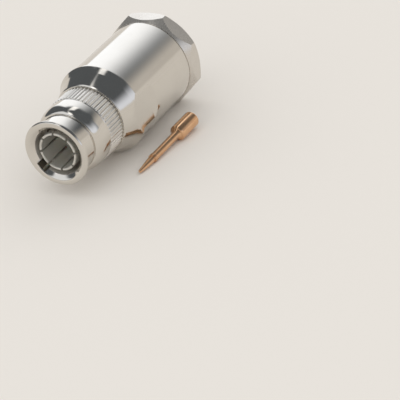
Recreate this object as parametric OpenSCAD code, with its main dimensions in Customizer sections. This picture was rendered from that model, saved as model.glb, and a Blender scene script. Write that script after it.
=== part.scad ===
// BNC cable plug, clamp type, with its loose centre contact laid beside it.
// Millimetres. The plug's axis lies along X with the mating end towards -X,
// and +Z is up. X = 0 is the reference plane, at the foot of the outer
// contact; the axis is at Y = 0, Z = 0.

/* [Coupling nut] */
// From the front face of the nut to the reference plane
nut_reach = 8.9; // [8.6:0.05:9.4]
// Length of the flange that turns on the neck
nut_flange = 1.65; // [1.4:0.05:1.9]
// Width of the lead-in at the front face
nut_lead = 0.85; // [0.5:0.05:0.95]
// Depth of the lead-in
nut_mouth_deep = 0.75; // [0.4:0.05:1.2]
// Wall between the bore and the waist
nut_wall = 1.05; // [0.9:0.05:1.4]
// How far the rolled lip stands out from the waist
lip_proud = 0.825; // [0.5:0.025:1]
// Width of the lip along the axis
lip_w = 0.6; // [0.5:0.05:0.9]
// Length of the hollow that runs from the lip down to the waist
lip_hollow = 0.8; // [0.5:0.05:1.2]
// How far the polished bead stands out from the waist
bead_proud = 1.15; // [0.8:0.05:1.3]
// From the front face to the foot of the bead
bead_start = 4.45; // [4:0.05:5]
// Length of the bead's round front
bead_round = 2.5; // [1.8:0.1:3]
// Groove between the bead and the knurl
knurl_groove = 0.25; // [0.15:0.05:0.4]

/* [Knurl] */
// How far the ridges stand out from the bead
knurl_proud = 0.1; // [0.05:0.05:0.3]
// Length of the knurled band
knurl_len = 4.45; // [4:0.05:4.8]
// Height of a ridge
knurl_deep = 0.2; // [0.1:0.05:0.3]
// Number of straight ridges
knurl_count = 56; // [40:1:90]
// Bevel at each end of the band
knurl_bevel = 0.25; // [0.1:0.05:0.4]

/* [Bayonet slots] */
// Width of the slot, a running fit on the jack's 2 mm lug
slot_w = 2.2; // [2.1:0.05:2.4]
// Depth of the slot from the nut's bore
slot_deep = 0.6; // [0.55:0.05:0.7]
// From the front face to where the ramp starts
ramp_start = 2.5; // [2.2:0.05:3]
// Distance that the ramp draws the lug in
ramp_rise = 2.4; // [2:0.05:2.8]
// How far the detent steps back towards the front
detent_step = 0.3; // [0.15:0.05:0.5]
// Turn from the slot's mouth to the detent
ramp_turn = 90; // [75:1:95]
// Where the first mouth stands round the axis
mouth_angle = -40; // [-90:1:90]

/* [Outer contact] */
// Outside diameter of the slotted sleeve
sleeve_d = 8.1; // [8:0.05:8.15]
// Wall of the slotted sleeve
sleeve_wall = 0.55; // [0.45:0.05:0.6]
// From the sleeve's front edge to the reference plane
sleeve_len = 8.25; // [7.9:0.05:8.5]
// Number of slots that cut it into fingers
finger_slots = 8; // [4:2:8]
// Where the first slot stands round the axis
finger_turn = -2; // [-20:1:20]
// Width of each slot
finger_slot_w = 0.45; // [0.3:0.05:0.6]
// Solid length left behind the slots
sleeve_root = 1.3; // [1.2:0.05:2]
// Wall of the tail that is pressed into the body
tail_wall = 0.5; // [0.4:0.05:0.6]
// Length of the tail
tail_len = 2.6; // [2.2:0.1:3]

/* [Body] */
// Wall of the barrel round the clamp nut's thread
rear_wall = 1.35; // [1.1:0.05:1.6]
// From the reference plane to the barrel's rear edge
body_end = 28.1; // [27.5:0.1:30]
// From the reference plane to where the shoulder reaches its rim
rim_start = 8.65; // [8.4:0.05:9.2]
// How far the shoulder's rim stands out from the barrel
rim_proud = 0.3; // [0.1:0.05:0.5]
// Length of the rim along the axis
rim_len = 0.4; // [0.2:0.05:0.8]
// How far the shoulder stands out from the coupling nut's knurl
shoulder_proud = 0.45; // [0.3:0.05:0.6]
// Height of the round edge where the shoulder's cone meets its rim
shoulder_drop = 0.8; // [0.4:0.05:1]
// Length of that round edge along the axis
shoulder_round = 1.1; // [0.6:0.1:1.6]
// How far the neck stands out from the slotted sleeve
neck_proud = 0.15; // [0.1:0.05:0.2]
// Wall of the neck round the outer contact's tail
neck_wall = 0.8; // [0.7:0.05:0.9]
// Bore of the insulator chamber
chamber_d = 10.4; // [10:0.1:11]
// Start of the insulator chamber
chamber_start = 6.1; // [5.8:0.1:6.6]
// Start of the clamp chamber
clamp_start = 14.1; // [13.8:0.1:14.8]
// Step between the threaded bore and the clamp chamber
clamp_step = 0.5; // [0.3:0.05:0.7]
// Start of the threaded rear bore
thread_start = 21.6; // [21.4:0.1:22.4]
// Depth of each of the two wrench flats
flat_deep = 0.75; // [0.5:0.05:0.9]
// From the reference plane to the wall that ends the flats
flat_end = 14.8; // [13:0.1:16]
// Radius of the cutter's run-out at the end of the flats
flat_round = 1.3; // [0.9:0.1:2]

/* [Clamp nut] */
// How far the octagonal head's flats stand out from the barrel
head_proud = 0.3; // [0.1:0.05:0.5]
// Length of the head
head_len = 4; // [3.6:0.1:5]
// Slope of the bevel that brings the head's front down to the barrel
head_bevel_angle = 30; // [20:1:45]
// How far the bevel at the head's rear cuts into the flats
head_rear_bevel = 0.25; // [0.1:0.05:0.5]
// Radial clearance round the cable's jacket
cable_gap = 0.25; // [0.1:0.05:0.4]
// Bevel at the mouth of the cable hole
cable_bevel = 0.6; // [0.3:0.1:1]
// Pitch of the clamp thread
thread_pitch = 1; // [0.75:0.05:1.25]

/* [Coupling spring] */
// Thickness of the retaining ring
ring_thick = 0.48; // [0.4:0.02:0.5]
// Depth of the ring's groove in the neck
ring_groove_deep = 0.35; // [0.25:0.05:0.4]
// From the reference plane to the ring's groove
ring_start = 0.8; // [0.7:0.05:1]
// Opening of the retaining ring, in degrees
ring_gap = 50; // [30:5:90]
// Radial width of the ring and the washers from the neck out
washer_width = 0.49; // [0.4:0.01:0.55]
// Radial gap between the washers and the nut's bore
washer_gap = 0.2; // [0.1:0.05:0.3]
// Thickness of each thrust washer
washer_thick = 0.25; // [0.2:0.01:0.3]
// Thickness of the wave washer's strip
wave_thick = 0.22; // [0.18:0.01:0.26]
// Free travel of the coupling nut against the wave washer
nut_travel = 0.45; // [0.3:0.05:0.5]
// Number of waves round the washer
wave_count = 3; // [3:1:5]

/* [Insulators and cable clamp] */
// Outside diameter of the cable's jacket
cable_d = 10.3; // [10:0.1:10.6]
// Diameter of the centre contact's shank
shank_d = 1.6; // [1.5:0.05:1.9]
// Diameter of the centre contact's barrel
pin_barrel_d = 3.3; // [3.1:0.05:3.6]
// Length of the front insulator's flange
insulator_flange = 3.2; // [2.6:0.1:3.8]
// Counterbore that takes the front of the contact's barrel
insulator_pocket = 2.2; // [1.8:0.1:2.4]
// Hole in the braid clamp for the cable's dielectric
dielectric_d = 7.4; // [7.2:0.1:7.8]
// Thickness of the braid clamp's flange
braid_flange = 1.2; // [1:0.1:1.6]
// Length of the braid clamp's nose
braid_nose = 2.7; // [2:0.1:3.2]
// Radial clearance of the gasket on the cable's jacket
gasket_gap = 0.05; // [0.02:0.01:0.2]
// Thickness of the gasket between its hole and its outside
gasket_wall = 2.17; // [2:0.01:2.3]
// Depth of the V groove in each end of the gasket
gasket_v = 0.8; // [0.4:0.1:1.1]
// Thickness of the slip washer behind the gasket
slip_thick = 0.8; // [0.6:0.1:1]
// Thickness of the mating gasket at the foot of the outer contact
seal_thick = 1.1; // [0.8:0.05:1.15]

/* [Centre contact] */
// Overall length
pin_len = 19.3; // [18.5:0.1:21]
// Diameter of the mating tip
pin_tip_d = 1.35; // [1.3:0.01:1.4]
// Length of the tapered mating tip
pin_tip_len = 4.6; // [4:0.1:5]
// Diameter at the end of the taper
pin_point_d = 0.7; // [0.5:0.05:0.9]
// Height of the collar behind the tip above the shank
pin_collar_high = 0.1; // [0.05:0.05:0.3]
// Length of the rear barrel
pin_barrel_len = 5.85; // [5.5:0.05:6.5]
// Round at both ends of the barrel
pin_barrel_round = 0.45; // [0.2:0.05:0.7]
// Solder bore for the cable's inner conductor
solder_bore_d = 2.4; // [2.2:0.1:2.6]
// Depth of the solder bore
solder_bore_deep = 4.8; // [4:0.1:5.2]
// Where the tip lies along the plug's axis
pin_x = 1.9; // [-5:0.1:10]
// How far the tip lies out beyond the rim's side
pin_beside = 0.85; // [0.5:0.05:6]
// Angle between the contact and the plug, seen from above
pin_turn = -5.5; // [-20:0.5:3]

/* [Fits] */
// Radial clearance of a running fit
run_fit = 0.06; // [0.03:0.01:0.1]
// Radial clearance of a piece that only sits in its bore
seat_fit = 0.03; // [0.02:0.01:0.08]
// Gap between faces that touch on the real plug
face_gap = 0.03; // [0.02:0.01:0.06]

/* [Hidden] */
$fn = 96;
overcut = 1;
arc_steps = 10;

sleeve_bore_d = sleeve_d - 2 * sleeve_wall;
neck_d = sleeve_d + 2 * neck_proud;
neck_r = neck_d / 2;
tail_d = neck_d - 2 * neck_wall;
neck_bore_d = tail_d - 2 * tail_wall;
washer_hole_r = neck_r + run_fit;
washer_d = 2 * (washer_hole_r + washer_width);
nut_bore_d = washer_d + 2 * washer_gap;
nut_bore_r = nut_bore_d / 2;
waist_d = nut_bore_d + 2 * nut_wall;
lip_d = waist_d + 2 * lip_proud;
bead_d = waist_d + 2 * bead_proud;
knurl_d = bead_d + 2 * knurl_proud;
shoulder_d = knurl_d + 2 * shoulder_proud;
gasket_hole_d = cable_d + 2 * gasket_gap;
cable_hole_d = cable_d + 2 * cable_gap;
clamp_d = gasket_hole_d + 2 * (gasket_wall + seat_fit);
thread_d = clamp_d + 2 * clamp_step;
body_d = thread_d + 2 * rear_wall;
rim_d = body_d + 2 * rim_proud;
shoulder_top_d = rim_d - 2 * shoulder_drop;
flat_across = body_d - 2 * flat_deep;
head_across = body_d + 2 * head_proud;
nut_front = -nut_reach;
ring_end = ring_start + ring_thick;
front_washer_end = ring_end + face_gap + washer_thick;
wave_start = front_washer_end + face_gap;
wave_high = nut_travel + wave_thick + face_gap;
wave_end = wave_start + wave_high;
rear_washer_start = wave_end + face_gap;
flange_front = rear_washer_start + washer_thick + face_gap;
nut_rear = flange_front + nut_flange;
knurl_front = nut_rear - knurl_len;
shoulder_face = nut_rear + face_gap;
clamp_r = clamp_d / 2 - seat_fit;
thread_r = thread_d / 2;
head_front = body_end + face_gap;
head_rear = head_front + head_len;
spigot_front = thread_start + face_gap;
head_corner_r = head_across / 2 / cos(22.5);
slip_end = spigot_front - face_gap;
slip_start = slip_end - slip_thick;
braid_face = clamp_start + braid_flange + face_gap;
floor_z = -max(head_across, rim_d) / 2;

// Points of an arc round (x, r); angles run from a0 to a1.
function arc(x, r, radius, a0, a1) =
    [for (i = [0:arc_steps]) let (a = a0 + (a1 - a0) * i / arc_steps)
        [x + radius * cos(a), r + radius * sin(a)]];

// Quarter of an ellipse that rises from (x0, r0) to (x1, r1), upright first.
function swell(x0, r0, x1, r1) =
    [for (i = [0:arc_steps]) let (a = 90 * i / arc_steps)
        [x0 + (x1 - x0) * (1 - cos(a)), r0 + (r1 - r0) * sin(a)]];

// Turns a profile of [x, radius] points round the plug's axis.
module turned(profile) {
    rotate([0, 90, 0])
        rotate_extrude()
            polygon([for (p = profile) [p[1], p[0]]]);
}

// Plain ring from x0 to x1.
module ring(x0, x1, r_in, r_out) {
    turned([[x0, r_in], [x0, r_out], [x1, r_out], [x1, r_in]]);
}

// Solid rod from x0 to x1.
module rod(x0, x1, r) {
    translate([x0, 0, 0]) rotate([0, 90, 0]) cylinder(h = x1 - x0, r = r);
}

// Outline of one knurl ridge after another, seen along the axis.
module knurl_section() {
    pitch = 360 / knurl_count;
    tip = knurl_d / 2;
    root = tip - knurl_deep;
    polygon([for (i = [0:knurl_count - 1])
        for (step = [[0, root], [0.2, root], [0.4, tip], [0.8, tip]])
            let (a = (i + step[0]) * pitch) step[1] * [cos(a), sin(a)]]);
}

// Knurled band with bevelled ends.
module knurl_band() {
    tip = knurl_d / 2;
    foot = tip - knurl_bevel;
    intersection() {
        translate([knurl_front, 0, 0])
            rotate([0, 90, 0]) linear_extrude(knurl_len) knurl_section();
        turned([[knurl_front, 0], [knurl_front, foot],
            [knurl_front + knurl_bevel, tip], [nut_rear - knurl_bevel, tip],
            [nut_rear, foot], [nut_rear, 0]]);
    }
}

// Ramp of a bayonet slot: a flat-sided channel that winds round the axis.
module slot_ramp() {
    steps = 20;
    inner = nut_bore_r - slot_deep;
    outer = nut_bore_r + slot_deep;
    lead = asin(slot_w / 2 / outer);
    start = nut_front + ramp_start;
    points = [for (i = [0:steps])
        let (t = i / steps,
            a = -lead + t * (ramp_turn + lead),
            x = start + ramp_rise * max(0, a) / ramp_turn)
        for (corner = [[-1, inner], [-1, outer], [1, outer], [1, inner]])
            [x + corner[0] * slot_w / 2, corner[1] * cos(a),
                corner[1] * sin(a)]];
    sides = [for (i = [0:steps - 1]) for (k = [0:3])
        let (a = 4 * i + k, b = 4 * i + (k + 1) % 4) [a, b, b + 4, a + 4]];
    polyhedron(points, concat([[3, 2, 1, 0]],
        sides, [[4 * steps, 4 * steps + 1, 4 * steps + 2, 4 * steps + 3]]));
}

// One whole bayonet slot: open mouth, ramp and round detent.
module bayonet_slot() {
    outer = nut_bore_r + slot_deep;
    translate([nut_front - overcut, nut_bore_r - slot_deep, -slot_w / 2])
        cube([ramp_start + slot_w / 2 + overcut, 2 * slot_deep, slot_w]);
    slot_ramp();
    rotate([ramp_turn, 0, 0])
        translate([nut_front + ramp_start + ramp_rise - detent_step,
            nut_bore_r - slot_deep, 0])
            rotate([-90, 0, 0]) cylinder(h = 2 * slot_deep, d = slot_w);
}

module coupling_nut() {
    nose = lip_w * 0.6;
    lip_r = lip_d / 2;
    waist_r = waist_d / 2;
    bead_foot = nut_front + bead_start;
    groove_x = knurl_front - knurl_groove;
    hub_r = knurl_d / 2 - knurl_deep - knurl_bevel / 2;
    color("Gainsboro") difference() {
        union() {
            turned(concat(
                [[nut_front + nut_mouth_deep, nut_bore_r],
                    [nut_front, nut_bore_r + nut_lead]],
                arc(nut_front + nose, lip_r - nose, nose, 180, 90),
                swell(nut_front + lip_w, lip_r, nut_front + lip_w + lip_hollow,
                    waist_r),
                swell(bead_foot, waist_r, bead_foot + bead_round, bead_d / 2),
                [[groove_x, bead_d / 2],
                    [knurl_front - knurl_groove / 2, hub_r],
                    [nut_rear, hub_r],
                    [nut_rear, washer_hole_r],
                    [flange_front, washer_hole_r],
                    [flange_front, nut_bore_r]]));
            difference() {
                knurl_band();
                rod(nut_front, nut_rear + overcut, hub_r - 0.3);
            }
        }
        for (side = [0, 180])
            rotate([mouth_angle + side, 0, 0]) bayonet_slot();
    }
}

module outer_contact() {
    r = sleeve_d / 2;
    bore = sleeve_bore_d / 2;
    nose = (r - bore) / 2;
    color("Silver") difference() {
        turned(concat(
            arc(nose - sleeve_len, bore + nose, nose, 270, 90),
            [[0, r], [0, tail_d / 2], [tail_len, tail_d / 2],
                [tail_len, neck_bore_d / 2], [-sleeve_root / 2, neck_bore_d / 2],
                [-sleeve_root / 2, bore]]));
        for (i = [0:finger_slots / 2 - 1])
            rotate([i * 360 / finger_slots + finger_turn, 0, 0])
                translate([-sleeve_len - overcut, -r - overcut, -finger_slot_w / 2])
                    cube([sleeve_len - sleeve_root + overcut,
                        2 * (r + overcut), finger_slot_w]);
    }
}

// Soft ring that seals against the jack's mouth.
module mating_gasket() {
    inner = sleeve_d / 2 + seat_fit;
    color("SandyBrown")
        ring(-seal_thick - face_gap, -face_gap, inner, washer_d / 2);
}

// Cut that leaves one wrench flat, with a round corner at its end.
module flat_cut() {
    half = flat_across / 2;
    round_x = flat_end - flat_round;
    translate([0, half, -rim_d / 2])
        cube([round_x, flat_round + overcut, rim_d]);
    translate([0, half + flat_round, -rim_d / 2])
        cube([flat_end, overcut, rim_d]);
    translate([round_x, half + flat_round, -rim_d / 2])
        cylinder(h = rim_d, r = flat_round);
}

module body() {
    r = body_d / 2;
    rim_r = rim_d / 2;
    edge = 0.2;
    bore = neck_bore_d / 2;
    groove_r = neck_r - ring_groove_deep;
    round_x = rim_start - shoulder_round;
    top_r = shoulder_top_d / 2;
    color("Gainsboro") difference() {
        turned(concat(
            [[face_gap, tail_d / 2 + seat_fit], [face_gap, neck_r],
                [ring_start - face_gap, neck_r],
                [ring_start - face_gap, groove_r],
                [ring_end + face_gap, groove_r],
                [ring_end + face_gap, neck_r],
                [shoulder_face, neck_r],
                [shoulder_face, shoulder_d / 2 - edge],
                [shoulder_face + edge, shoulder_d / 2]],
            [for (i = [0:arc_steps]) let (a = 90 * i / arc_steps,
                lean = atan2(top_r - shoulder_d / 2,
                    round_x - shoulder_face - edge))
                [round_x + shoulder_round * sin(a),
                    top_r + (rim_r - top_r) * (sin(a) * cos(lean)
                        + (1 - cos(a)) * (1 - cos(lean)))]],
            [[rim_start, rim_r], [rim_start + rim_len, rim_r],
                [rim_start + rim_len + rim_proud, r],
                [body_end - edge, r], [body_end, r - edge],
                [body_end, thread_r + run_fit + edge],
                [body_end - edge, thread_r + run_fit],
                [thread_start, thread_r + run_fit],
                [thread_start, clamp_d / 2],
                [clamp_start, clamp_d / 2], [clamp_start, chamber_d / 2],
                [chamber_start, chamber_d / 2], [chamber_start, bore],
                [tail_len + face_gap, bore],
                [tail_len + face_gap, tail_d / 2 + seat_fit]]));
        for (side = [0, 180]) rotate([side, 0, 0]) flat_cut();
    }
}

// Open spring ring in the groove of the neck.
module retaining_ring() {
    inner = neck_r - ring_groove_deep + seat_fit;
    color("DimGray")
        translate([ring_start, 0, 0]) rotate([0, 90, 0])
            rotate([0, 0, ring_gap / 2])
                rotate_extrude(angle = 360 - ring_gap)
                    translate([inner, 0])
                        square([washer_d / 2 - inner, ring_thick]);
}

module front_thrust_washer() {
    start = ring_end + face_gap;
    color("LightSteelBlue")
        ring(start, start + washer_thick, washer_hole_r, washer_d / 2);
}

module rear_thrust_washer() {
    color("LightSteelBlue")
        ring(rear_washer_start, rear_washer_start + washer_thick,
            washer_hole_r, washer_d / 2);
}

// Flat strip bent into even waves, which presses the two washers apart.
module wave_washer() {
    steps = 72;
    inner = washer_hole_r;
    outer = washer_d / 2;
    mid = (wave_start + wave_end - wave_thick) / 2;
    swing = (wave_high - wave_thick) / 2;
    points = [for (i = [0:steps - 1])
        let (a = 360 * i / steps, x = mid + swing * cos(wave_count * a))
        for (corner = [[0, inner], [0, outer], [1, outer], [1, inner]])
            [x + corner[0] * wave_thick, corner[1] * cos(a),
                corner[1] * sin(a)]];
    faces = [for (i = [0:steps - 1]) for (k = [0:3])
        let (j = (i + 1) % steps, n = (k + 1) % 4)
        for (half = [[4 * i + k, 4 * i + n, 4 * j + n],
            [4 * i + k, 4 * j + n, 4 * j + k]]) half];
    color("SteelBlue") polyhedron(points, faces);
}

module front_insulator() {
    bore = shank_d / 2 + run_fit;
    nose_r = neck_bore_d / 2 - seat_fit;
    start = chamber_start + face_gap;
    end = start + insulator_flange;
    color("White") turned([[0, bore], [0, nose_r], [start, nose_r],
        [start, chamber_d / 2 - seat_fit], [end, chamber_d / 2 - seat_fit],
        [end, pin_barrel_d / 2 + run_fit],
        [end - insulator_pocket, pin_barrel_d / 2 + run_fit],
        [end - insulator_pocket, bore]]);
}

module rear_insulator() {
    start = chamber_start + insulator_flange + 2 * face_gap;
    color("White")
        ring(start, clamp_start - face_gap, pin_barrel_d / 2 + run_fit,
            chamber_d / 2 - seat_fit);
}

// Flange and cone under which the cable's braid is folded back.
module braid_clamp() {
    start = clamp_start + face_gap;
    hole = dielectric_d / 2;
    nose_r = gasket_hole_d / 2 - 0.25;
    color("Goldenrod") turned([[start, hole], [start, clamp_r],
        [start + braid_flange, clamp_r],
        [start + braid_flange, nose_r],
        [start + braid_flange + braid_nose, hole + 0.4],
        [start + braid_flange + braid_nose, hole]]);
}

// Rubber ring that the clamp nut squeezes onto the cable's jacket.
module cable_gasket() {
    start = braid_face + face_gap;
    end = slip_start - face_gap;
    hole = gasket_hole_d / 2;
    mid = (hole + clamp_r) / 2;
    color("DarkSlateGray") turned([[start, hole], [start + gasket_v, mid],
        [start, clamp_r], [end, clamp_r], [end - gasket_v, mid],
        [end, hole]]);
}

module slip_washer() {
    color("LightSteelBlue")
        ring(slip_start, slip_end, cable_hole_d / 2, clamp_r);
}

// Eight-sided head, bevelled down to the barrel in front and cut at the rear.
module octagon_head() {
    front_r = body_d / 2;
    rear_r = head_across / 2 - head_rear_bevel;
    deep = head_len + overcut;
    intersection() {
        translate([head_front, 0, 0])
            rotate([0, 90, 0]) rotate([0, 0, 22.5])
                cylinder(h = head_len, r = head_corner_r, $fn = 8);
        turned([[head_front, 0], [head_front, front_r],
            [head_front + deep, front_r + deep * tan(head_bevel_angle)],
            [head_front + deep, 0]]);
        turned([[head_rear - deep, 0], [head_rear - deep, rear_r + deep],
            [head_rear, rear_r], [head_rear, 0]]);
    }
}

module clamp_nut() {
    bore = cable_hole_d / 2;
    bevel = thread_pitch / 2;
    relief_r = thread_r - 0.6;
    color("Gainsboro") difference() {
        union() {
            octagon_head();
            turned([[spigot_front, 0], [spigot_front, thread_r - bevel],
                [spigot_front + bevel, thread_r],
                [head_front - 1.2, thread_r], [head_front - 0.9, relief_r],
                [head_front + overcut, relief_r], [head_front + overcut, 0]]);
        }
        rod(spigot_front - overcut, head_rear + overcut, bore);
        turned([[head_rear - cable_bevel, 0],
            [head_rear - cable_bevel, bore],
            [head_rear + overcut, bore + cable_bevel + overcut],
            [head_rear + overcut, 0]]);
    }
}

// Centre contact along X with its point at the origin.
module contact_pin() {
    shank_r = shank_d / 2;
    barrel_r = pin_barrel_d / 2;
    point_r = pin_point_d / 2;
    round_r = pin_barrel_round;
    barrel_x = pin_len - pin_barrel_len;
    collar_r = shank_r + pin_collar_high;
    difference() {
        turned(concat([[0, 0]], arc(point_r, 0, point_r, 180, 90),
            [[pin_tip_len * 0.75, pin_tip_d / 2],
                [pin_tip_len, pin_tip_d / 2], [pin_tip_len, collar_r],
                [pin_tip_len + 0.7, collar_r],
                [pin_tip_len + 0.9, shank_r],
                [barrel_x - 0.5, shank_r], [barrel_x, shank_r + 0.5]],
            arc(barrel_x + round_r, barrel_r - round_r, round_r, 180, 90),
            arc(pin_len - round_r, barrel_r - round_r, round_r, 90, 0),
            [[pin_len, 0]]));
        rod(pin_len - solder_bore_deep, pin_len + overcut, solder_bore_d / 2);
        translate([pin_len - solder_bore_deep + 0.9, 0, 0])
            rotate([-120, 0, 0])
                cylinder(h = pin_barrel_d, d = solder_bore_d / 2.4);
    }
}

// The contact lies on the floor on its collar and its barrel's front edge.
module centre_contact() {
    collar_r = shank_d / 2 + pin_collar_high;
    run = pin_len - pin_barrel_len + pin_barrel_round - pin_tip_len;
    rise = pin_barrel_d / 2 - pin_barrel_round - collar_r;
    lean = atan2(rise, run) + asin(pin_barrel_round / norm([run, rise]));
    tip_z = floor_z + collar_r * cos(lean) - pin_tip_len * sin(lean);
    color("Peru") translate([pin_x, -rim_d / 2 - pin_beside, tip_z])
        rotate([0, 0, pin_turn]) rotate([0, -lean, 0]) contact_pin();
}

body();
outer_contact();
mating_gasket();
retaining_ring();
front_thrust_washer();
wave_washer();
rear_thrust_washer();
coupling_nut();
front_insulator();
rear_insulator();
braid_clamp();
cable_gasket();
slip_washer();
clamp_nut();
centre_contact();
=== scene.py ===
"""Dresses a clamp-type BNC cable plug and its loose centre contact over their CAD frame.

The plug's axis lies along X with the mating end towards -X, and +Z is up. Sizes are in
millimetres until a mesh is finished, and meshes are in metres.
"""

from __future__ import annotations

import logging
import math
from dataclasses import dataclass, field
from enum import Enum

import bmesh
import bpy
from bpy.types import Material, Node, NodeSocket, NodeTree, Object
from mathutils import Matrix, Vector


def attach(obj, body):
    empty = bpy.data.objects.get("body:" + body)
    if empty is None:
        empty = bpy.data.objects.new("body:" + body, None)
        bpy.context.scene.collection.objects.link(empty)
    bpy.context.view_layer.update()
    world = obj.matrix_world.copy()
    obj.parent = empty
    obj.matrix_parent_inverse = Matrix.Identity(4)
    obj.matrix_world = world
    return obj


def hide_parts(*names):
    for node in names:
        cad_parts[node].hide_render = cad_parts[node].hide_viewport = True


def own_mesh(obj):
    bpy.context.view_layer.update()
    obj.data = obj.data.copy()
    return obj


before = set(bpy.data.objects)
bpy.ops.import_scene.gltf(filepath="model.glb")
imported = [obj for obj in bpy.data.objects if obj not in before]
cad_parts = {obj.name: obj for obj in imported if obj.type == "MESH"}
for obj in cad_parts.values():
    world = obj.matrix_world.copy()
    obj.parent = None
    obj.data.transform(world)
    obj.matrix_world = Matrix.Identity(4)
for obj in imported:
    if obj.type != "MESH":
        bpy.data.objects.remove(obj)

LOG = logging.getLogger("bnc_plug")
MM = 0.001
SEGMENTS = 192
SHARP_DEG = 16.0

Point = tuple[float, float, float]
Profile = list[tuple[float, float]]
Rgb = tuple[float, float, float]


class Body(str, Enum):
    """Rigid bodies that the pieces ride on."""

    PLUG = "plug"
    COUPLING = "coupling"
    CLAMP_CARRIER = "clamp_carrier"
    CLAMP = "clamp"
    COUPLING_CARRIER = "coupling_carrier"


class Slot(str, Enum):
    """Material slots of the record."""

    PLATED_BRASS = "plated_brass"
    SILVERED_BRASS = "silvered_brass"
    SPRING_STEEL = "spring_steel"
    SPRING_BRONZE = "spring_bronze"
    BARE_BRASS = "bare_brass"
    GOLD_PLATE = "gold_plate"
    PTFE = "ptfe"
    SILICONE_RUBBER = "silicone_rubber"
    GASKET_RUBBER = "gasket_rubber"


# ---------------------------------------------------------------- colours and nodes


def linear(code: str) -> Rgb:
    """Turns an sRGB hex colour into linear red, green and blue.

    Args:
        code: Six hex digits, with or without a leading hash.

    Returns:
        The three linear channels, 0 to 1.
    """
    digits = code.lstrip("#")
    channels = [int(digits[i : i + 2], 16) / 255 for i in (0, 2, 4)]
    return tuple(c / 12.92 if c <= 0.04045 else ((c + 0.055) / 1.055) ** 2.4 for c in channels)


def add_node(tree: NodeTree, kind: str, links: dict | None = None, **settings) -> Node:
    """Adds a node, sets it up and links it.

    Args:
        tree: Tree that gets the node.
        kind: The node's type name.
        links: Input socket name or index to a value, or to an output socket to link from.
        **settings: Properties of the node itself.

    Returns:
        The new node.
    """
    node = tree.nodes.new(kind)
    for key, value in settings.items():
        setattr(node, key, value)
    for key, value in (links or {}).items():
        socket = node.inputs[key]
        if isinstance(value, NodeSocket):
            tree.links.new(value, socket)
        elif isinstance(value, tuple) and len(value) == 3 and len(socket.default_value) == 4:
            socket.default_value = (*value, 1.0)
        else:
            socket.default_value = value
    return node


# ---------------------------------------------------------------- finishes


@dataclass(frozen=True)
class PlatedMetal:
    """A turned metal piece with a bright plate.

    A lathe leaves rings that are far finer than a picture shows, so they are drawn at
    ring_mm: they stretch each highlight a little along the piece. A cloudy change of
    gloss, as handling leaves, keeps the plate from looking like clean chrome. A film is
    the share of the surface that a dull tarnish covers, which scatters light like paint.
    """

    name: str
    colour: str
    shade: str
    roughness: float
    ring_mm: float = 0.12
    ring_height_mm: float = 0.00035
    cloud_mm: float = 6.0
    film: float = 0.0

    def build(self) -> Material:
        """Builds the plated metal's node material.

        Returns:
            The material.
        """
        material = bpy.data.materials.new(self.name)
        material.use_nodes = True
        tree = material.node_tree
        tree.nodes.clear()
        coords = add_node(tree, "ShaderNodeTexCoord")
        cloud = add_node(
            tree,
            "ShaderNodeTexNoise",
            {"Vector": coords.outputs["Object"], "Scale": 1 / (self.cloud_mm * MM), "Detail": 3.0,
             "Roughness": 0.6},
        )
        gloss = add_node(
            tree,
            "ShaderNodeMapRange",
            {"Value": cloud.outputs["Fac"], "From Min": 0.3, "From Max": 0.7,
             "To Min": self.roughness * 0.8, "To Max": self.roughness * 1.25},
        )
        tint = add_node(
            tree,
            "ShaderNodeMix",
            {0: cloud.outputs["Fac"], 6: linear(self.colour), 7: linear(self.shade)},
            data_type="RGBA",
        )
        squeeze = add_node(
            tree,
            "ShaderNodeMapping",
            {"Vector": coords.outputs["Object"], "Scale": (1.0, 0.02, 0.02)},
        )
        rings = add_node(
            tree,
            "ShaderNodeTexNoise",
            {"Vector": squeeze.outputs["Vector"], "Scale": 1 / (self.ring_mm * MM), "Detail": 2.0,
             "Roughness": 0.7},
        )
        bump = add_node(
            tree,
            "ShaderNodeBump",
            {"Height": rings.outputs["Fac"], "Strength": 1.0, "Distance": self.ring_height_mm * MM},
        )
        shader = add_node(
            tree,
            "ShaderNodeBsdfPrincipled",
            {"Base Color": tint.outputs[2], "Metallic": 1.0 - self.film, "Roughness": gloss.outputs["Result"],
             "Normal": bump.outputs["Normal"]},
        )
        add_node(tree, "ShaderNodeOutputMaterial", {"Surface": shader.outputs["BSDF"]})
        return material


@dataclass(frozen=True)
class SoftPolymer:
    """A moulded rubber or turned plastic with a faint grain and no metal in it."""

    name: str
    colour: str
    shade: str
    roughness: float
    grain_mm: float
    grain_height_mm: float
    sheen: float = 0.0
    glow_mm: float = 0.0

    def build(self) -> Material:
        """Builds the polymer's node material.

        Returns:
            The material.
        """
        material = bpy.data.materials.new(self.name)
        material.use_nodes = True
        tree = material.node_tree
        tree.nodes.clear()
        coords = add_node(tree, "ShaderNodeTexCoord")
        grain = add_node(
            tree,
            "ShaderNodeTexNoise",
            {"Vector": coords.outputs["Object"], "Scale": 1 / (self.grain_mm * MM), "Detail": 4.0},
        )
        tint = add_node(
            tree,
            "ShaderNodeMix",
            {0: grain.outputs["Fac"], 6: linear(self.colour), 7: linear(self.shade)},
            data_type="RGBA",
        )
        bump = add_node(
            tree,
            "ShaderNodeBump",
            {"Height": grain.outputs["Fac"], "Strength": 1.0, "Distance": self.grain_height_mm * MM},
        )
        shader = add_node(
            tree,
            "ShaderNodeBsdfPrincipled",
            {"Base Color": tint.outputs[2], "Roughness": self.roughness, "Normal": bump.outputs["Normal"],
             "Sheen Weight": self.sheen},
        )
        if self.glow_mm:
            shader.inputs["Subsurface Weight"].default_value = 0.3
            shader.inputs["Subsurface Scale"].default_value = self.glow_mm * MM
        add_node(tree, "ShaderNodeOutputMaterial", {"Surface": shader.outputs["BSDF"]})
        return material


# Bright nickel over turned brass: a slightly warm mirror, a little softened by the lathe.
NICKEL = PlatedMetal("bright_nickel_plate", "#D9D5CE", "#CFCAC2", 0.1)
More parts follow.
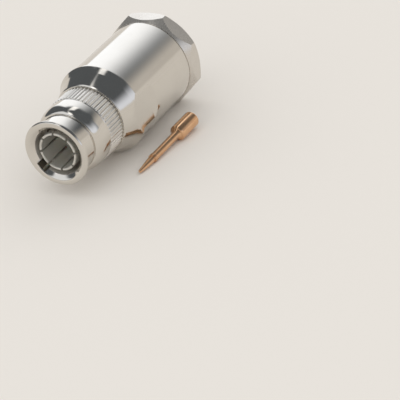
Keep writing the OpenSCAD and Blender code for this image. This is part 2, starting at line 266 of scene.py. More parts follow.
# The same plate over the milled octagon, where the cutter's marks spread each reflection.
NICKEL_MILLED = PlatedMetal("nickel_on_milled_flats", "#D6D1CA", "#CCC6BD", 0.24, ring_mm=0.2, film=0.2)
# The same plate deep in the nut's bore, satin from the boring tool and more diffuse, in a lighter colour than
# the outside: painted light that brightens the shade in the bore.
NICKEL_BORE_LIGHTENED = PlatedMetal("nickel_in_bore", "#E0DCD5", "#D3CDC4", 0.3, ring_mm=0.25, film=0.5)
# The same plate on the knurl, where the rolled ridges scatter it.
NICKEL_KNURL = PlatedMetal("nickel_on_knurl", "#DCD9D4", "#D0CCC5", 0.3, ring_mm=0.3, film=0.3)
# Silver plate on the spring fingers, a little duller and whiter.
SILVER = PlatedMetal("silver_plate", "#CFCDC6", "#C0BDB4", 0.36, ring_mm=0.15, film=0.4)
# Thin gold over brass, as on crimp and solder contacts.
GOLD = PlatedMetal(
    "gold_flash", "#E8BF98", "#D7A67C", 0.17, ring_mm=0.25, ring_height_mm=0.0001, cloud_mm=1.6, film=0.08
)
# Turned brass that was left bare inside the clamp.
BRASS = PlatedMetal("turned_brass", "#C7A25A", "#A98542", 0.28, ring_mm=0.2)
# Ground stainless steel of the washers.
STEEL = PlatedMetal("ground_stainless", "#B4B5B6", "#9FA1A3", 0.3, ring_mm=0.4)
# Phosphor bronze strip of the springs.
BRONZE = PlatedMetal("phosphor_bronze", "#B98E5A", "#9A7243", 0.3, ring_mm=0.4)
# Turned PTFE: waxy white, and light goes a little way in.
PTFE = SoftPolymer("turned_ptfe", "#E9E8E3", "#DEDDD6", 0.45, 0.35, 0.002, glow_mm=0.5)
# Moulded silicone of the mating gasket.
SILICONE = SoftPolymer("moulded_silicone", "#9A5A40", "#85492F", 0.5, 0.3, 0.003)
# Moulded black rubber of the cable gasket, with a dusty bloom.
RUBBER = SoftPolymer("moulded_rubber", "#2B2B2C", "#363534", 0.62, 0.25, 0.006, sheen=0.15)


# ---------------------------------------------------------------- mesh tools


def arc(x: float, r: float, radius: float, start: float, end: float, steps: int = 12) -> Profile:
    """Gives the points of an arc round (x, r), with angles in degrees."""
    angles = [math.radians(start + (end - start) * i / steps) for i in range(steps + 1)]
    return [(x + radius * math.cos(a), r + radius * math.sin(a)) for a in angles]


def swell(x0: float, r0: float, x1: float, r1: float, steps: int = 16) -> Profile:
    """Gives a quarter of an ellipse that rises from (x0, r0), upright first, to (x1, r1)."""
    angles = [math.pi / 2 * i / steps for i in range(steps + 1)]
    return [(x0 + (x1 - x0) * (1 - math.cos(a)), r0 + (r1 - r0) * math.sin(a)) for a in angles]


def bend(start: Vector, corner: Vector, end: Vector, steps: int) -> Profile:
    """Gives the points of a smooth curve from start to end that is drawn towards a corner."""
    shares = [k / steps for k in range(steps + 1)]
    return [tuple(start * (1 - t) ** 2 + corner * 2 * t * (1 - t) + end * t**2) for t in shares]


def eased(profile: Profile, radius: float = 0.06, steps: int = 6) -> Profile:
    """Breaks the hard corners of a closed profile, as deburring and plating do.

    Args:
        profile: Closed outline of (x, radius) points.
        radius: Radius that each hard corner gets where there is room.
        steps: Short edges in each rounded corner.

    Returns:
        The outline with its corners rounded.
    """
    eased_points: Profile = []
    for i, point in enumerate(profile):
        before, here, after = Vector(profile[i - 1]), Vector(point), Vector(profile[(i + 1) % len(profile)])
        back, ahead = before - here, after - here
        if point[1] < 1e-6 or back.length < 1e-6 or ahead.length < 1e-6:
            eased_points.append(point)
            continue
        turn = math.pi - back.angle(ahead)
        if turn < math.radians(20):
            eased_points.append(point)
            continue
        cut = min(radius * math.tan(turn / 2), 0.4 * back.length, 0.4 * ahead.length)
        eased_points += bend(here + back.normalized() * cut, here, here + ahead.normalized() * cut, steps)
    return eased_points


def finish_mesh(name: str, bm: bmesh.types.BMesh) -> Object:
    """Turns a millimetre bmesh into an object in metres, smooth but for its hard edges.

    Args:
        name: Name of the object.
        bm: Closed mesh in millimetres, which is freed.

    Returns:
        The finished object.
    """
    bmesh.ops.remove_doubles(bm, verts=bm.verts, dist=1e-5)
    bmesh.ops.recalc_face_normals(bm, faces=bm.faces)
    bmesh.ops.scale(bm, vec=(MM, MM, MM), verts=bm.verts)
    mesh = bpy.data.meshes.new(name)
    bm.to_mesh(mesh)
    bm.free()
    piece = bpy.data.objects.new(name, mesh)
    bpy.context.scene.collection.objects.link(piece)
    smooth(piece)
    return piece


def smooth(piece: Object, limit: float = SHARP_DEG) -> None:
    """Shades a piece smooth and keeps the edges sharper than limit degrees."""
    piece.data.shade_smooth()
    piece.data.set_sharp_from_angle(angle=math.radians(limit))


def turned(name: str, profile: Profile, segments: int = SEGMENTS) -> Object:
    """Turns a closed profile of (x, radius) points round the X axis.

    Args:
        name: Name of the piece.
        profile: Closed outline in millimetres. A radius of 0 makes a pole.
        segments: Steps round the axis.

    Returns:
        The closed solid of revolution.
    """
    bm = bmesh.new()
    rings = []
    for x, r in profile:
        count = 1 if r < 1e-6 else segments
        angles = [2 * math.pi * i / segments for i in range(count)]
        rings.append([bm.verts.new((x, r * math.cos(a), r * math.sin(a))) for a in angles])
    for near, far in zip(rings, rings[1:] + rings[:1]):
        for i in range(segments):
            j = (i + 1) % segments
            corners = [near[i % len(near)], near[j % len(near)], far[j % len(far)], far[i % len(far)]]
            corners = list(dict.fromkeys(corners))
            if len(corners) > 2:
                bm.faces.new(corners)
    return finish_mesh(name, bm)


def flatten(piece: Object) -> None:
    """Makes a piece's modifiers part of its mesh and removes them.

    Args:
        piece: The piece, which keeps its name.
    """
    graph = bpy.context.evaluated_depsgraph_get()
    mesh = bpy.data.meshes.new_from_object(piece.evaluated_get(graph))
    old = piece.data
    piece.modifiers.clear()
    piece.data = mesh
    mesh.name = old.name
    bpy.data.meshes.remove(old)


class Cut(str, Enum):
    """What a tool does to a piece."""

    REMOVE = "DIFFERENCE"
    KEEP = "INTERSECT"


def machine(piece: Object, tools: list[Object], cut: Cut = Cut.REMOVE) -> None:
    """Cuts a piece with tool solids and throws the tools away.

    Args:
        piece: Solid to cut.
        tools: Closed solids that cut it, one after another.
        cut: Whether the tools remove material or keep only what they hold.
    """
    for tool in tools:
        modifier = piece.modifiers.new("machine", "BOOLEAN")
        modifier.operation = cut.value
        modifier.solver = "EXACT"
        modifier.object = tool
        flatten(piece)
    for tool in tools:
        bpy.data.objects.remove(tool)
    bm = bmesh.new()
    bm.from_mesh(piece.data)
    bmesh.ops.remove_doubles(bm, verts=bm.verts, dist=1e-8)
    bmesh.ops.dissolve_degenerate(bm, edges=bm.edges, dist=1e-8)
    bm.to_mesh(piece.data)
    bm.free()
    smooth(piece)


def dress(piece: Object, material: Material) -> None:
    """Gives a whole piece one material.

    Args:
        piece: The piece.
        material: Its finish.
    """
    piece.data.materials.clear()
    piece.data.materials.append(material)
    for polygon in piece.data.polygons:
        polygon.material_index = 0


def place(piece: Object, body: Body, slot: Slot, *nodes: str) -> None:
    """Puts a finished piece on its body, in place of CAD nodes.

    Args:
        piece: The finished piece.
        body: Body that it rides on.
        slot: Material slot of the record; not used.
        *nodes: CAD nodes that it stands for.
    """
    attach(piece, body.value)
    if nodes:
        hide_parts(*nodes)
    LOG.info("%s rides on %s, %d faces", piece.name, body.value, len(piece.data.polygons))


# ---------------------------------------------------------------- Geometry Nodes


def node_group(name: str, inputs: dict[str, tuple[str, object]]) -> tuple[NodeTree, Node]:
    """Starts a Geometry Nodes group with named inputs.

    Args:
        name: Name of the group.
        inputs: Input name to its socket type and default value.

    Returns:
        The group and its input node.
    """
    tree = bpy.data.node_groups.new(name, "GeometryNodeTree")
    tree.interface.new_socket("Geometry", in_out="INPUT", socket_type="NodeSocketGeometry")
    tree.interface.new_socket("Geometry", in_out="OUTPUT", socket_type="NodeSocketGeometry")
    for label, (kind, value) in inputs.items():
        socket = tree.interface.new_socket(label, in_out="INPUT", socket_type=kind)
        if value is not None:
            socket.default_value = value
    return tree, add_node(tree, "NodeGroupInput")


def run_group(name: str, tree: NodeTree, values: dict[str, object]) -> Object:
    """Runs a Geometry Nodes group on an empty mesh and keeps the result as a plain mesh.

    Args:
        name: Name of the piece.
        tree: The group.
        values: Input name to its value on this piece.

    Returns:
        The piece, with no modifier left on it.
    """
    piece = bpy.data.objects.new(name, bpy.data.meshes.new(name))
    bpy.context.scene.collection.objects.link(piece)
    modifier = piece.modifiers.new(tree.name, "NODES")
    modifier.node_group = tree
    for item in tree.interface.items_tree:
        if item.item_type == "SOCKET" and item.in_out == "INPUT" and item.name in values:
            modifier[item.identifier] = values[item.name]
    flatten(piece)
    smooth(piece)
    return piece


def ring_of_copies() -> NodeTree:
    """Builds the group that sets evenly turned copies of a part round the X axis.

    Returns:
        A group with the inputs Part, Count, First Angle and Finish.
    """
    tree, given = node_group(
        "ring_of_copies",
        {"Part": ("NodeSocketObject", None), "Count": ("NodeSocketInt", 8),
         "First Angle": ("NodeSocketFloat", 0.0), "Finish": ("NodeSocketMaterial", None)},
    )
    points = add_node(tree, "GeometryNodePoints", {"Count": given.outputs["Count"]})
    source = add_node(tree, "GeometryNodeObjectInfo", {"Object": given.outputs["Part"]})
    index = add_node(tree, "GeometryNodeInputIndex")
    step = add_node(tree, "ShaderNodeMath", {0: math.tau, 1: given.outputs["Count"]}, operation="DIVIDE")
    angle = add_node(
        tree,
        "ShaderNodeMath",
        {0: index.outputs["Index"], 1: step.outputs[0], 2: given.outputs["First Angle"]},
        operation="MULTIPLY_ADD",
    )
    turn = add_node(tree, "ShaderNodeCombineXYZ", {"X": angle.outputs[0]})
    copies = add_node(
        tree,
        "GeometryNodeInstanceOnPoints",
        {"Points": points.outputs[0], "Instance": source.outputs["Geometry"], "Rotation": turn.outputs[0]},
    )
    real = add_node(tree, "GeometryNodeRealizeInstances", {"Geometry": copies.outputs[0]})
    finish = add_node(
        tree, "GeometryNodeSetMaterial", {"Geometry": real.outputs[0], "Material": given.outputs["Finish"]}
    )
    add_node(tree, "NodeGroupOutput", {"Geometry": finish.outputs[0]})
    return tree


def thread_helix() -> NodeTree:
    """Builds the group that winds a V-shaped thread round the X axis.

    Returns:
        A group with the inputs Radius, Start, Turns, Pitch, Height and Finish, in metres.
    """
    tree, given = node_group(
        "thread_helix",
        {"Radius": ("NodeSocketFloat", 0.007), "Start": ("NodeSocketFloat", 0.0),
         "Turns": ("NodeSocketFloat", 4.0), "Pitch": ("NodeSocketFloat", 0.001),
         "Height": ("NodeSocketFloat", 0.0006), "Finish": ("NodeSocketMaterial", None)},
    )
    rise = add_node(
        tree, "ShaderNodeMath", {0: given.outputs["Turns"], 1: given.outputs["Pitch"]}, operation="MULTIPLY"
    )
    path = add_node(
        tree,
        "GeometryNodeCurveSpiral",
        {"Resolution": 72, "Rotations": given.outputs["Turns"], "Start Radius": given.outputs["Radius"],
         "End Radius": given.outputs["Radius"], "Height": rise.outputs[0], "Reverse": False},
    )
    upright = add_node(tree, "GeometryNodeSetCurveNormal", {"Curve": path.outputs[0]}, mode="Z_UP")
    ridge = add_node(
        tree,
        "GeometryNodeCurvePrimitiveQuadrilateral",
        {"Height": given.outputs["Height"], "Bottom Width": given.outputs["Pitch"], "Top Width": 0.00012,
         "Offset": 0.0},
        mode="TRAPEZOID",
    )
    wound = add_node(
        tree,
        "GeometryNodeCurveToMesh",
        {"Curve": upright.outputs[0], "Profile Curve": ridge.outputs[0], "Fill Caps": True},
    )
    shift = add_node(tree, "ShaderNodeCombineXYZ", {"X": given.outputs["Start"]})
    laid = add_node(
        tree,
        "GeometryNodeTransform",
        {"Geometry": wound.outputs[0], "Translation": shift.outputs[0], "Rotation": (0.0, math.pi / 2, 0.0)},
    )
    real = add_node(tree, "GeometryNodeRealizeInstances", {"Geometry": laid.outputs[0]})
    finish = add_node(
        tree, "GeometryNodeSetMaterial", {"Geometry": real.outputs[0], "Material": given.outputs["Finish"]}
    )
    add_node(tree, "NodeGroupOutput", {"Geometry": finish.outputs[0]})
    return tree


# ---------------------------------------------------------------- the plug's pieces


def extruded(name: str, base: list[Point], sweep: Point) -> Object:
    """Sweeps a flat outline in a straight line into a closed solid.

    Args:
        name: Name of the solid.
        base: Corners of the outline in millimetres.
        sweep: How far and which way it is swept.

    Returns:
        The closed solid.
    """
    bm = bmesh.new()
    near = [bm.verts.new(p) for p in base]
    far = [bm.verts.new(Vector(p) + Vector(sweep)) for p in base]
    bm.faces.new(near)
    bm.faces.new(list(reversed(far)))
    for i in range(len(base)):
        j = (i + 1) % len(base)
        bm.faces.new([near[i], near[j], far[j], far[i]])
    return finish_mesh(name, bm)


def block(name: str, low: Point, high: Point) -> Object:
    """Makes a box between two corners."""
    (x0, y0, z0), (x1, y1, z1) = low, high
    return extruded(name, [(x0, y0, z0), (x1, y0, z0), (x1, y1, z0), (x0, y1, z0)], (0, 0, z1 - z0))


def turned_by(piece: Object, degrees: float) -> Object:
    """Turns a piece's mesh round the X axis."""
    piece.data.transform(Matrix.Rotation(math.radians(degrees), 4, "X"))
    return piece


@dataclass(frozen=True)
class Fits:
    """Clearances that the pieces share."""

    running: float = 0.06
    seated: float = 0.03
    face: float = 0.03


@dataclass
class CouplingNut:
    """The turned bayonet nut: lip, waist, bead, knurl and two slots inside."""

    front: float = -8.9
    rear: float = 4.25
    flange_front: float = 2.6
    neck_hole: float = 4.26
    bore: float = 4.95
    lead: float = 0.85
    lead_deep: float = 0.75
    waist: float = 6.0
    lip: float = 6.825
    lip_width: float = 0.6
    lip_hollow: float = 0.8
    lip_inner_round: float = 0.45
    bead: float = 7.15
    bead_start: float = 4.45
    bead_round: float = 2.5
    groove: float = 0.25
    knurl_front: float = -0.2
    knurl_tip: float = 7.25
    knurl_root: float = 7.05
    knurl_foot: float = 7.0
    knurl_bevel: float = 0.25
    ridges: int = 56
    first_ridge: float = 4.66
    slot_width: float = 2.2
    slot_deep: float = 0.6
    ramp_start: float = 2.5
    ramp_rise: float = 2.4
    ramp_turn: float = 90.0
    detent_step: float = 0.3
    mouth_angle: float = -40.0

    def outline(self) -> Profile:
        """Gives the nut's closed outline without its ridges.

        Returns:
            Closed outline of (x, radius) points.
        """
        nose = self.lip_width * 0.6
        lip_back = self.front + self.lip_width
        foot = self.front + self.bead_start
        groove_x = self.knurl_front - self.groove
        hub = self.knurl_foot - self.knurl_bevel / 4
        edge, foot_of_lead = Vector((self.front, self.bore + self.lead)), Vector((self.lead_deep, -self.lead))
        bored = [(self.flange_front, self.bore), (self.front + self.lead_deep, self.bore)]
        bored += bend(
            edge + foot_of_lead.normalized() * self.lip_inner_round, edge,
            edge + Vector((0.0, self.lip_inner_round)), 8,
        )
        lip = arc(self.front + nose, self.lip - nose, nose, 180, 90)
        waist = swell(lip_back, self.lip, lip_back + self.lip_hollow, self.waist)
        bead = swell(foot, self.waist, foot + self.bead_round, self.bead)
        hard = [
            (groove_x, self.bead),
            (self.knurl_front - self.groove / 2, hub),
            (self.knurl_front, self.knurl_foot),
            (self.knurl_front + 0.05, self.knurl_root),
            (self.rear - 0.05, self.knurl_root),
            (self.rear, self.knurl_foot),
            (self.rear, self.neck_hole),
            (self.flange_front, self.neck_hole),
        ]
        return eased(bored + lip + waist + bead + hard, 0.05)

    def slot_tools(self) -> list[Object]:
        """Builds the solids that cut both bayonet slots.

        Returns:
            Mouth, ramp and detent tools for each slot.
        """
        inner, outer = self.bore - self.slot_deep, self.bore + self.slot_deep
        half = self.slot_width / 2
        start = self.front + self.ramp_start
        tools = []
        for side in (0.0, 180.0):
            mouth = block("slot_mouth", (self.front - 1, inner, -half), (start + half, outer, half))
            tools.append(turned_by(mouth, self.mouth_angle + side))
            tools.append(turned_by(self.ramp_tool(start, inner, outer), self.mouth_angle + side))
            deep = outer - inner
            seat = turned("slot_detent", [(0.0, 0.0), (0.0, half), (deep, half), (deep, 0.0)], 48)
            stand = Matrix.Translation((0, inner * MM, 0)) @ Matrix.Rotation(math.pi / 2, 4, "Z")
            back = start + self.ramp_rise - self.detent_step
            seat.data.transform(Matrix.Translation((back * MM, 0, 0)) @ stand)
            tools.append(turned_by(seat, self.mouth_angle + side + self.ramp_turn))
        return tools

    def ramp_tool(self, start: float, inner: float, outer: float) -> Object:
        """Builds the channel that winds back from the mouth to the detent.

        Args:
            start: Where the ramp starts along the axis.
            inner: Radius of the tool's floor.
            outer: Radius of the tool's top.

        Returns:
            The closed tool.
        """
        steps, half = 48, self.slot_width / 2
        lead = math.asin(half / outer)
        turn = math.radians(self.ramp_turn)
        bm = bmesh.new()
        rings = []
        for i in range(steps + 1):
            a = -lead + (turn + lead) * i / steps
            x = start + self.ramp_rise * max(0.0, a) / turn
            corners = [(-half, inner), (-half, outer), (half, outer), (half, inner)]
            rings.append([bm.verts.new((x + dx, r * math.cos(a), r * math.sin(a))) for dx, r in corners])
        for near, far in zip(rings, rings[1:]):
            for k in range(4):
                bm.faces.new([near[k], near[(k + 1) % 4], far[(k + 1) % 4], far[k]])
        bm.faces.new(rings[0])
        bm.faces.new(rings[-1])
        return finish_mesh("slot_ramp", bm)

    def ridge(self) -> Object:
        """Builds one knurl ridge with sloping ends and a rounded crest.

        Returns:
            The closed ridge, at the top of the nut.
        """
        pitch = math.tau * self.knurl_tip / self.ridges
        height = self.knurl_tip - self.knurl_root
        section = [(-0.06, 0.39), (0.0, 0.39), (0.55, 0.24), (0.88, 0.14), (1.0, 0.05)]
        outline = [(min(h, 1.0) * height if h > 0 else h, w * pitch) for h, w in section]
        outline += [(h, -w) for h, w in reversed(outline)]
        ends = [(self.knurl_front + 0.05, 0.04), (self.knurl_front + self.knurl_bevel, 1.0),
                (self.rear - self.knurl_bevel, 1.0), (self.rear - 0.05, 0.04)]
        bm = bmesh.new()
        rings = []
        for x, share in ends:
            heights = [self.knurl_root + (h * share if h > 0 else h) for h, _ in outline]
            rings.append([bm.verts.new((x, height, w)) for height, (_, w) in zip(heights, outline)])
        for near, far in zip(rings, rings[1:]):
            for k in range(len(outline)):
                j = (k + 1) % len(outline)
                bm.faces.new([near[k], near[j], far[j], far[k]])
        bm.faces.new(rings[0])
        bm.faces.new(rings[-1])
        return finish_mesh("knurl_ridge", bm)

    def lighten_bore(self, nut: Object, plate: Material) -> None:
        """Gives the nut's bore and slots, which no polishing wheel reaches, their own satin finish, in a lighter
        colour that is painted light in their shade.

        Args:
            nut: The finished nut.
            plate: Finish of the bore, a lighter copy of the plate that paints light into its shade.
        """
        nut.data.materials.append(plate)
        reach, start = (self.bore + self.slot_deep + 0.02) * MM, (self.front + self.lead_deep) * MM
        for polygon in nut.data.polygons:
            spot = polygon.center
            if spot.x > start and math.hypot(spot.y, spot.z) < reach:
                polygon.material_index = 1

    def build(self, copies: NodeTree, finishes: dict[str, Material]) -> None:
        """Builds, dresses and places the nut and its ridges.

        Args:
            copies: Group that sets copies round the axis.
            finishes: Finish of each kind of surface.
        """
        nut = turned("coupling_nut_turned", self.outline())
        machine(nut, self.slot_tools())
        dress(nut, finishes["nickel"])
        # The bore and slots get a lighter copy of the plate: painted light in their shade.
        self.lighten_bore(nut, finishes["bore"])
        place(nut, Body.COUPLING, Slot.PLATED_BRASS, "coupling_nut")
        ridge = self.ridge()
        ridges = run_group(
            "knurl_ridges", copies,
            {"Part": ridge, "Count": self.ridges, "First Angle": math.radians(self.first_ridge),
             "Finish": finishes["knurl"]},
        )
        bpy.data.objects.remove(ridge)
        place(ridges, Body.COUPLING, Slot.PLATED_BRASS)


@dataclass
class PlugBody:
    """The turned main body with its neck, shoulder, barrel and wrench flats."""

    fits: Fits = field(default_factory=Fits)
    neck: float = 4.2
    neck_bore: float = 2.9
    tail: float = 3.4
    tail_length: float = 2.6
    ring_start: float = 0.8
    ring_end: float = 1.28
    ring_groove: float = 0.35
    shoulder_face: float = 4.28
    shoulder: float = 7.7
    shoulder_top: float = 8.75
    shoulder_round: float = 1.1
    rim_start: float = 8.65
    rim_length: float = 0.4
    rim: float = 9.55
    radius: float = 9.25
    end: float = 28.1
    chamber: float = 5.2
    chamber_start: float = 6.1
    clamp_bore: float = 7.4
    clamp_start: float = 14.1
    thread: float = 7.9
    thread_start: float = 21.6
    flat: float = 8.5
    flat_end: float = 14.8
    flat_round: float = 1.3

    def shoulder_edge(self) -> Profile:
        """Gives the round edge in which the shoulder's cone meets its rim, and the rim.

        Returns:
            Outline of (x, radius) points from the cone to the barrel.
        """
        edge = 0.2
        round_x = self.rim_start - self.shoulder_round
        lean = math.atan2(self.shoulder_top - self.shoulder, round_x - self.shoulder_face - edge)
        rise = self.rim - self.shoulder_top
        points = []
        for i in range(17):
            a = math.pi / 2 * i / 16
            up = math.sin(a) * math.cos(lean) + (1 - math.cos(a)) * (1 - math.cos(lean))
            points.append((round_x + self.shoulder_round * math.sin(a), self.shoulder_top + rise * up))
        rim_end = self.rim_start + self.rim_length
        return points + [(rim_end, self.rim), (rim_end + self.rim - self.radius, self.radius)]

    def outline(self) -> Profile:
        """Gives the body's closed outline before the wrench flats are milled.

        Returns:
            Closed outline of (x, radius) points.
        """
        gap, edge = self.fits.face, 0.2
        bore = self.thread + self.fits.running
        tail = self.tail + self.fits.seated
        groove = self.neck - self.ring_groove
        front = [
            (gap, tail), (gap, self.neck), (self.ring_start - gap, self.neck),
            (self.ring_start - gap, groove), (self.ring_end + gap, groove),
            (self.ring_end + gap, self.neck), (self.shoulder_face, self.neck),
            (self.shoulder_face, self.shoulder - edge), (self.shoulder_face + edge, self.shoulder),
        ]
        rear = [
            (self.end - edge, self.radius), (self.end, self.radius - edge), (self.end, bore + edge),
            (self.end - edge, bore), (self.thread_start, bore), (self.thread_start, self.clamp_bore),
            (self.clamp_start, self.clamp_bore), (self.clamp_start, self.chamber),
            (self.chamber_start, self.chamber), (self.chamber_start, self.neck_bore),
            (self.tail_length + gap, self.neck_bore), (self.tail_length + gap, tail),
        ]
        return eased(front + self.shoulder_edge() + rear, 0.07)

    def flat_tool(self, side: float) -> Object:
        """Builds the milling tool's path for one wrench flat.

        Args:
            side: Turn of the flat round the axis, in degrees.

        Returns:
            The closed tool.
        """
        reach = self.rim + 2
        centre = (self.flat_end - self.flat_round, self.flat + self.flat_round)
        corner = arc(*centre, self.flat_round, -90, 0, 8)
        base = [(0.0, self.flat)] + corner + [(self.flat_end, reach), (0.0, reach)]
        tool = extruded("flat_tool", [(x, y, -reach) for x, y in base], (0, 0, 2 * reach))
        return turned_by(tool, side)

    def build(self, plate: Material) -> None:
        """Builds, dresses and places the body.

        Args:
            plate: Finish of the body.
        """
        body = turned("plug_body_turned", self.outline(), 256)
        machine(body, [self.flat_tool(0.0), self.flat_tool(180.0)])
        dress(body, plate)
        place(body, Body.PLUG, Slot.PLATED_BRASS, "body")


@dataclass
class CouplingSpring:
    """The wave washer behind the coupling nut's flange."""

    travel: float = 0.45

    def build(self, bronze: Material) -> None:
        """Builds the spring from its CAD strip.

        Args:
            bronze: Finish of the strip.
        """
        bm = bmesh.new()
        bm.from_mesh(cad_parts["wave_washer"].data)
        bmesh.ops.scale(bm, vec=(1 / MM, 1 / MM, 1 / MM), verts=bm.verts)
        spring = finish_mesh("wave_washer_strip", bm)
        dress(spring, bronze)
        place(spring, Body.PLUG, Slot.SPRING_BRONZE, "wave_washer")
        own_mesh(spring)


@dataclass
class MatingFace:
    """What the jack meets: slotted outer contact and gasket."""

    fits: Fits = field(default_factory=Fits)
    sleeve: float = 4.05
    sleeve_bore: float = 3.5
    sleeve_length: float = 8.25
    root: float = 1.3
    tail: float = 3.4
    tail_length: float = 2.6
    neck_bore: float = 2.9
    slots: int = 8
    first_slot: float = -2.0
    slot_width: float = 0.45
    seal: float = 1.1
    seal_outside: float = 4.75

    def build(self, copies: NodeTree, silver: Material, silicone: Material) -> None:
        """Builds, dresses and places the outer contact and the gasket.

        Args:
            copies: Group that sets copies round the axis.
            silver: Finish of the contact.
            silicone: Finish of the gasket.
        """
        nose = (self.sleeve - self.sleeve_bore) / 2
        step = -self.root / 2
        outline = arc(nose - self.sleeve_length, self.sleeve_bore + nose, nose, 270, 90, 16) + [
            (0.0, self.sleeve), (0.0, self.tail), (self.tail_length, self.tail),
            (self.tail_length, self.neck_bore), (step, self.neck_bore), (step, self.sleeve_bore),
        ]
        sleeve = turned("outer_contact_turned", eased(outline, 0.03))
        cutter = block(
            "finger_slot_tool",
            (-self.sleeve_length - 1, self.sleeve_bore - 1, -self.slot_width / 2),
            (-self.root, self.sleeve + 1, self.slot_width / 2),
        )
        tools = run_group(
            "finger_slots", copies,
            {"Part": cutter, "Count": self.slots, "First Angle": math.radians(self.first_slot)},
        )
        bpy.data.objects.remove(cutter)
        machine(sleeve, [tools])
        dress(sleeve, silver)
        place(sleeve, Body.PLUG, Slot.SILVERED_BRASS, "outer_contact")
        inner = self.sleeve + self.fits.seated
        ring = [(-self.seal - self.fits.face, inner), (-self.seal - self.fits.face, self.seal_outside),
                (-self.fits.face, self.seal_outside), (-self.fits.face, inner)]
        gasket = turned("mating_gasket_moulded", eased(ring, 0.2), 128)
        dress(gasket, silicone)
        place(gasket, Body.PLUG, Slot.SILICONE_RUBBER, "mating_gasket")


@dataclass
class Insulators:
    """The two turned PTFE pieces that hold the centre contact on the axis."""

    fits: Fits = field(default_factory=Fits)
    hole: float = 0.86
    nose: float = 2.87
    flange: float = 5.17
    flange_start: float = 6.13
    flange_end: float = 9.33
    pocket: float = 2.2
    barrel_hole: float = 1.71
    rear_start: float = 9.36
    rear_end: float = 14.07

    def build(self, ptfe: Material) -> None:
        """Builds, dresses and places both insulators.

        Args:
            ptfe: Finish of both.
        """
        step = self.flange_end - self.pocket
        front = [(0.0, self.hole), (0.0, self.nose), (self.flange_start, self.nose),
                 (self.flange_start, self.flange), (self.flange_end, self.flange),
                 (self.flange_end, self.barrel_hole), (step, self.barrel_hole), (step, self.hole)]
        rear = [(self.rear_start, self.barrel_hole), (self.rear_start, self.flange),
                (self.rear_end, self.flange), (self.rear_end, self.barrel_hole)]
        for name, outline, node in (
            ("front_insulator_turned", front, "front_insulator"),
            ("rear_insulator_turned", rear, "rear_insulator"),
        ):
            piece = turned(name, eased(outline, 0.08), 128)
            dress(piece, ptfe)
            place(piece, Body.PLUG, Slot.PTFE, node)


